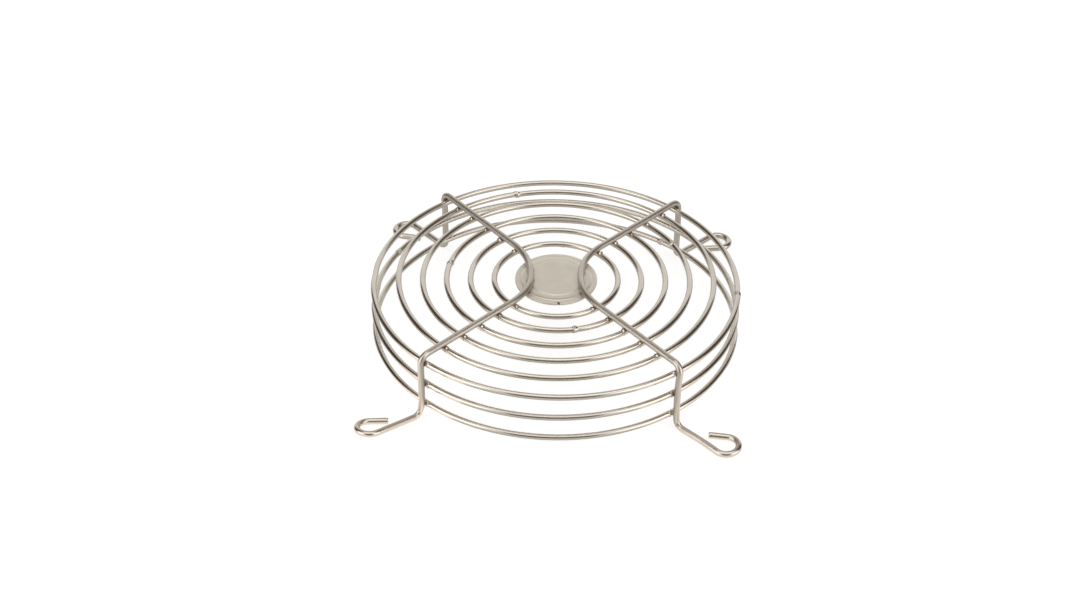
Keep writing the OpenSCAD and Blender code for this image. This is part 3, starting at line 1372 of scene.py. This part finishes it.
@dataclass
class HubDisc:
    """The pressed disc under the two hub bends."""

    sizes: GuardSizes
    # Share of each step's drop that its gently rounded lead takes, inner step first
    crown: Pair = (0.3, 0.5)
    crown_lead: float = 0.8  # How far the rounding starts before the step's drawn edge
    wall_w: Pair = (0.8, 0.24)  # Width of the steeper rest of each step
    foot_round: float = 0.06  # Rounding of all the edges
    draw_in: float = 0.85  # How far inside their drawn places the press left both steps
    slip: float = -0.45  # How far the disc was welded off the middle, along Y
    lean: float = 0.026  # Its slope along Y
    # Half-width of the bands at the two steps and the rim, which are smoother and painted darker as
    # shade
    pressed_w: tuple[float, ...] = (0.45, 0.75, 0.2)
    # How strong those bands are, in smoothness and painted shade, where 1 is fully pressed
    pressed_share: tuple[float, ...] = (0.35, 1.0, 1.0)
    pressed_inset: float = 0.35  # How far inside a step's foot its band lies
    step: float = 0.055  # Distance between rings of points
    nick_angle: float = math.radians(-84)  # Where the shear left its nick
    nick_reach: float = 0.055  # Half of the nick's angle that has closer points
    # Width of sheet that the nick drew in, and how far, as share of its depth
    nick_pull: Pair = (1.2, 0.4)
    weld_at: float = 2.6  # Distance of a weld to a support wire from the X axis
    weld_w: float = 1.25  # Half-width of its darkened patch: painted shade where the wire touches, over a little weld tint
    burn_w: float = 0.42  # Half-width of the burnt patch at the nick

    def _seat(self) -> float:
        """Radius at which the raised centre starts to roll over."""
        return self.sizes.hub_near_r + self.sizes.disc_seat_w - self.draw_in

    def _land(self, edge: float) -> float:
        """Radius at which the land starts to roll over towards the rim."""
        return edge - self.sizes.disc_rim_w - self.sizes.disc_roll_w - self.draw_in

    def _radius(self) -> float:
        """Outside radius, from the node's box."""
        low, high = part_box("hub_disc")
        return (high.x - low.x) / 2 / MM

    def _height(self, r: np.ndarray, edge: float) -> np.ndarray:
        """Height of the upper side.

        Args:
            r: Distances from the axis.
            edge: Outside radius.

        Returns:
            One height per distance.
        """
        s = self.sizes
        fine = np.linspace(0, edge, 1200)
        height = np.full_like(fine, s.disc_top_z)
        starts, drops = (self._seat(), self._land(edge)), (s.disc_rise, s.disc_rim_drop)
        for start, drop, crown, wall_w in zip(starts, drops, self.crown, self.wall_w):
            end = start + s.disc_roll_w
            lead = fine - start + self.crown_lead
            lead = np.clip(lead / (end - start + self.crown_lead), 0, 1)
            wall = np.clip((fine - end + wall_w) / wall_w, 0, 1)
            height -= drop * (crown * lead**2 + (1 - crown) * wall**2 * (3 - 2 * wall))
        reach = 24
        spread = hill(np.arange(-reach, reach + 1) * fine[1], self.foot_round)
        padded = np.pad(height, reach, mode="edge")
        return np.interp(r, fine, np.convolve(padded, spread / spread.sum(), mode="valid"))

    def _turns(self, edge: float) -> tuple[np.ndarray, np.ndarray]:
        """Angles of the points round the disc, and the nick's depth at each.

        Args:
            edge: Outside radius.

        Returns:
            The angles in radians, closer together at the nick, and the depths.
        """
        turns = np.radians(np.arange(0, 360, 2.0))
        nick = self.nick_angle % FULL_TURN
        near = nick + np.linspace(-self.nick_reach, self.nick_reach, 23)
        away = np.abs(turns - nick) > self.nick_reach + 0.005
        turns = np.unique(np.concatenate([turns[away], near]))
        gap, half = (turns - nick) * edge, self.sizes.disc_nick_d / 2
        return turns, np.sqrt(np.clip(half**2 - gap**2, 0, None))

    def build(self) -> bpy.types.Object:
        """Makes the disc's mesh.

        Returns:
            The new object, in metres.
        """
        s = self.sizes
        edge, skin = self._radius(), s.disc_sheet_t
        seat, land = self._seat(), self._land(edge)
        field_r, rest_r = np.linspace(0.6, seat - 0.1, 16), np.arange(seat, edge - 0.08, self.step)
        r = np.concatenate([field_r, rest_r])
        low_r = r[::-3]
        brow_r, brow_drop = np.array(
            [(edge - 0.04, 0.015), (edge, 0.07), (edge, skin * 0.7), (edge - 0.05, skin - 0.02)]
        ).T
        out_r = np.concatenate([r, brow_r, low_r])
        top_edge = self._height(np.array([edge]), edge)[0]
        top, under = self._height(r, edge), self._height(low_r, edge) - skin
        out_z = np.concatenate([top, top_edge - brow_drop, under])
        turns, bite = self._turns(edge)
        pull_w, pull_share = self.nick_pull
        pull = np.clip((out_r - (edge - pull_w)) / pull_w, 0, 1)
        radial = out_r[None, :] - pull_share * bite[:, None] * pull[None, :]
        warp = 0.03 * np.sin(2 * turns + 0.7) + 0.02 * np.sin(3 * turns)
        height = out_z[None, :] + warp[:, None] * (out_r / edge)[None, :] ** 2
        cos, sin = np.cos(turns)[:, None], np.sin(turns)[:, None]
        points = np.stack([radial * cos, radial * sin, height], -1)
        slope = points[..., 1:2] * np.array([0.0, 0.0, self.lean])
        points = points + np.array([0.0, self.slip, 0.0]) + slope
        middle = [[0, self.slip, out_z[0]], [0, self.slip, out_z[0] - skin]]
        verts = np.concatenate([points.reshape(-1, 3), middle])
        # Bands of smoother metal with painted shade, near the steps' feet and at the rim
        bands = [*(start + s.disc_roll_w - self.pressed_inset for start in (seat, land)), edge]
        steps = zip(bands, self.pressed_w, self.pressed_share)
        press = np.max([share * hill(out_r - at, width, 4) for at, width, share in steps], axis=0)
        n, m = points.shape[:2]
        i, j = np.meshgrid(np.arange(n), np.arange(m - 1), indexing="ij")
        i2 = (i + 1) % n
        quads = np.stack([i * m + j, i * m + j + 1, i2 * m + j + 1, i2 * m + j], -1)
        faces = quads.reshape(-1, 4).tolist()
        for a in range(n):
            b = (a + 1) % n
            faces.append([n * m, a * m, b * m])
            faces.append([n * m + 1, b * m + m - 1, a * m + m - 1])
        return new_piece(
            "pressed_hub_disc",
            verts,
            faces,
            press_edge=np.concatenate([np.tile(press, n), [0, 0]]),
            weld_heat=self._heat(verts),
        )

    def _heat(self, verts: np.ndarray) -> np.ndarray:
        """Tint and painted shade of the four welds to the support wires, where they touch the disc,
        and burnt metal at the nick.

        Args:
            verts: The disc's points.

        Returns:
            One value per point, about 0 to 1.
        """
        s = self.sizes
        heat = np.zeros(len(verts))
        # Painted shade where each support wire touches the disc, over a little weld tint
        for side in (1, -1):
            spot = np.array([side * s.hub_near_r, 0, s.disc_top_z])
            for shift in (-self.weld_at, self.weld_at):
                gap = (verts - spot - [side * 0.15, shift, 0]) * [1.2, 0.8, 1]
                heat = np.maximum(heat, 0.95 * hill(np.linalg.norm(gap, axis=1), self.weld_w))
        way = np.array([math.cos(self.nick_angle), math.sin(self.nick_angle)])
        gap = (verts[:, :2] - (self._radius() - 0.45) * way - [0, self.slip]) * [0.8, 1.2]
        return np.maximum(heat, 1.15 * hill(np.linalg.norm(gap, axis=1), self.burn_w, 4))


# Studio


@dataclass(frozen=True)
class Softbox:
    """A soft panel light."""

    name: str
    place: tuple[float, float, float]  # Where it hangs, in metres, as are its two sides
    width: float
    depth: float
    glow: float  # How bright its surface is, where 1 is white

    def hang(self, target: Vector) -> None:
        """Makes the light and turns it to a point.

        Args:
            target: What it faces.
        """
        lamp = bpy.data.lights.new(self.name, "AREA")
        lamp.shape = "RECTANGLE"
        lamp.size, lamp.size_y = self.width, self.depth
        lamp.energy = self.glow * math.pi * self.width * self.depth
        holder = place_object(self.name, lamp)
        holder.location = self.place
        holder.rotation_euler = (target - Vector(self.place)).to_track_quat("-Z", "Y").to_euler()


def mirror_card(
    name: str, corners: list[tuple[float, ...]], tone: float, tint: Pair
) -> None:
    """Makes a flat panel that only mirrored rays see.

    Args:
        name: Name of the panel.
        corners: Its corners, in metres.
        tone: How bright it is, where 1 is white.
        tint: Its green and blue as shares of its red.
    """
    mesh = bpy.data.meshes.new(name)
    mesh.from_pydata(corners, [], [tuple(range(len(corners)))])
    made = bpy.data.materials.new(name + "_cloth")
    g = Graph.of(made)
    glow = g.add("Emission", Color=(tone, tone * tint[0], tone * tint[1], 1), Strength=1.0)
    g.add("OutputMaterial", Surface=glow.outputs[0])
    mesh.materials.append(made)
    card = place_object(name, mesh)
    card.visible_camera = card.visible_diffuse = card.visible_shadow = False


@dataclass(frozen=True)
class Flag:
    """A dark panel that the bright metal mirrors, unseen by the camera."""

    name: str
    bearing: float  # Direction from the guard, in degrees from +Y towards +X
    rise: float  # Height of its middle above the floor, in degrees
    width: float  # Width in metres
    height: float  # Height in metres
    tone: float  # How dark its cloth is
    away: float = 0.9  # Distance in metres
    tint: Pair = (0.85, 0.74)

    def hang(self) -> None:
        """Makes the panel, facing the guard."""
        turn, rise = math.radians(self.bearing), math.radians(self.rise)
        out = Vector(
            (math.sin(turn) * math.cos(rise), math.cos(turn) * math.cos(rise), math.sin(rise))
        )
        across = Vector((math.cos(turn), -math.sin(turn), 0)) * self.width / 2
        up = across.cross(out).normalized() * self.height / 2
        middle = out * self.away
        sides = ((-1, -1), (1, -1), (1, 1), (-1, 1))
        corners = [middle + a * across + b * up for a, b in sides]
        mirror_card(self.name, [tuple(corner) for corner in corners], self.tone, self.tint)


@dataclass(frozen=True)
class TableCard:
    """A card lying beside the guard that the bright metal mirrors, unseen by the camera."""

    name: str
    corners: tuple[Pair, ...]  # Its corners on the floor, in metres
    tone: float  # How bright it is
    height: float = 0.001  # How far it lies above the floor, in metres
    tint: Pair = (0.94, 0.89)

    def lay(self) -> None:
        """Makes the card, just above the floor."""
        corners = [(x, y, self.height) for x, y in self.corners]
        mirror_card(self.name, corners, self.tone, self.tint)


@dataclass(frozen=True)
class Lookout:
    """Place and lens of the camera, above the front of the guard and a little to its right."""

    lens: float = 65.18  # Focal length over a sensor of sensor_w, in millimetres
    sensor_w: float = 36.0  # Width of that sensor
    # Shift of the picture to the right and up, as shares of its width
    shift: Pair = (-0.01214, -0.02510)
    # Nearest and furthest distance that it sees, in metres
    clip: Pair = (0.01, 20.0)
    aim: float = 0.02125  # Height of the point on the axis that it looks at, in metres
    # From that point to the camera, before the turn
    away: tuple[float, float, float] = (0.0, -0.49240, 0.35882)
    turn: float = 1.8  # Turn round the axis, in degrees
    roll: float = 1.11  # Tilt of the picture, in degrees

    def place(self) -> None:
        """Makes the camera and puts the scene's view through it."""
        data = bpy.data.cameras.new("studio_camera")
        data.lens, data.sensor_width = self.lens, self.sensor_w
        data.shift_x, data.shift_y = self.shift
        data.clip_start, data.clip_end = self.clip
        away = Matrix.Rotation(math.radians(self.turn), 3, "Z") @ Vector(self.away)
        ahead = -away.normalized()
        right = ahead.cross(Vector((0, 0, 1))).normalized()
        up = right.cross(ahead)
        cos, sin = math.cos(math.radians(self.roll)), math.sin(math.radians(self.roll))
        right, up = cos * right + sin * up, cos * up - sin * right
        pose = Matrix((right, up, -ahead)).transposed().to_4x4()
        pose.translation = Vector((0, 0, self.aim)) + away
        camera = place_object("studio_camera", data)
        camera.matrix_world = pose
        bpy.context.scene.camera = camera


@dataclass
class Studio:
    """Pale floor, soft lights, dark flags between them, and the camera."""

  
    lights: tuple[Softbox, ...] = (
        Softbox("left_softbox", (-0.80, -0.46, 0.38), 0.80, 0.80, 1.05),
        Softbox("right_softbox", (0.80, -0.46, 0.38), 0.80, 0.80, 1.0),
        Softbox("top_softbox", (0.0, -0.05, 1.2), 1.0, 1.0, 0.5),
    )
  
    flags: tuple[Flag, ...] = (
        Flag("left_flag", -68, 32, 0.74, 1.10, 0.08),
        Flag("right_flag", 69, 32, 0.72, 1.10, 0.09),
        Flag("front_flag", 178, 22, 0.84, 0.80, 0.17),
        Flag("back_flag", 0, 57, 0.95, 0.46, 0.38),
    )
  
    cards: tuple[TableCard, ...] = (
        TableCard(
            "left_dark_card", ((-0.12, -0.02), (-0.12, 0.10), (-0.90, 0.75), (-0.90, -0.12)), 0.25
        ),
        TableCard(
            "right_dark_card", ((0.12, -0.02), (0.90, -0.12), (0.90, 0.75), (0.12, 0.10)), 0.25
        ),
        TableCard(
            "left_white_card",
            ((-0.045, -0.012), (-0.90, -0.20), (-0.75, -0.90), (-0.032, -0.050)),
            1.4,
            0.0002,
        ),
        TableCard(
            "right_white_card",
            ((0.050, -0.014), (0.034, -0.052), (0.75, -0.90), (0.90, -0.20)),
            1.2,
            0.0002,
        ),
    )
    lookout: Lookout = Lookout()
    sky_fill: float = 0.4  # How bright the air lights the guard, where 1 is white
    floor_half: float = 4.0  # Half of the floor's side, in metres
    floor_colour: Colour = (0.64, 0.64, 0.64, 1.0)
    floor_lift: float = 0.69  # How much brighter the floor is to the camera
    mirrored_lift: float = 0.34  # How much brighter it is in the bright metal
    light_aim: float = 0.02  # Height of the point that the lights face, in metres

    def build(self) -> None:
        """Sets up floor, flags, lights, world, camera and view."""
        self._floor()
        for flag in self.flags:
            flag.hang()
        for card in self.cards:
            card.lay()
        for light in self.lights:
            light.hang(Vector((0, 0, self.light_aim)))
        self._world()
        self.lookout.place()
        bpy.context.scene.view_settings.view_transform = "Standard"

    @staticmethod
    def _seen(g: Graph, straight: float, mirrored: float) -> Socket:
        """Extra glow for rays by which the background is seen.

        Args:
            g: Graph of the background's material.
            straight: Glow for rays straight from the camera.
            mirrored: Glow for rays from gloss or through glass.

        Returns:
            The glow for each kind of ray, and 0 for rays that light the guard.
        """
        path = g.add("LightPath")
        glossy, through = path.outputs["Is Glossy Ray"], path.outputs["Is Transmission Ray"]
        indirect = g.math("MULTIPLY", g.math("ADD", glossy, through, clamp=True), mirrored)
        direct = g.math("MULTIPLY", path.outputs["Is Camera Ray"], straight)
        return g.math("ADD", direct, indirect)

    def _floor(self) -> None:
        """Makes the pale floor, which keeps the guard's soft shadow."""
        mesh = bpy.data.meshes.new("studio_floor")
        half = self.floor_half
        corners = [(-half, -half, 0), (half, -half, 0), (half, half, 0), (-half, half, 0)]
        mesh.from_pydata(corners, [], [(0, 1, 2, 3)])
        made = bpy.data.materials.new("studio_floor_white")
        g = Graph.of(made)
        matt = g.add("BsdfDiffuse", Color=self.floor_colour)
        seen = self._seen(g, self.floor_lift, self.mirrored_lift)
        lift = g.add("Emission", Color=(1, 1, 1, 1), Strength=seen)
        both = g.add("AddShader")
        for slot, shader in zip(both.inputs, (matt, lift)):
            g.feed(slot, shader.outputs[0])
        g.add("OutputMaterial", Surface=both.outputs[0])
        mesh.materials.append(made)
        place_object("studio_floor", mesh)

    def _world(self) -> None:
        """Lights the guard from all round and shows white behind it."""
        world = bpy.data.worlds.new("studio_air")
        bpy.context.scene.world = world
        g = Graph.of(world)
        rest = 1 - self.sky_fill
        strength = g.math("ADD", self._seen(g, rest, rest), self.sky_fill)
        air = g.add("Background", Color=(1, 1, 1, 1), Strength=strength)
        g.add("OutputWorld", Surface=air.outputs[0])


def main() -> None:
    """Loads the frame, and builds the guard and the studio."""
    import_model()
    guard = Guard(GuardSizes(), SharedEffects())
    guard.build()
    Studio().build()
    bpy.context.view_layer.update()


if __name__ == "__main__":
    main()
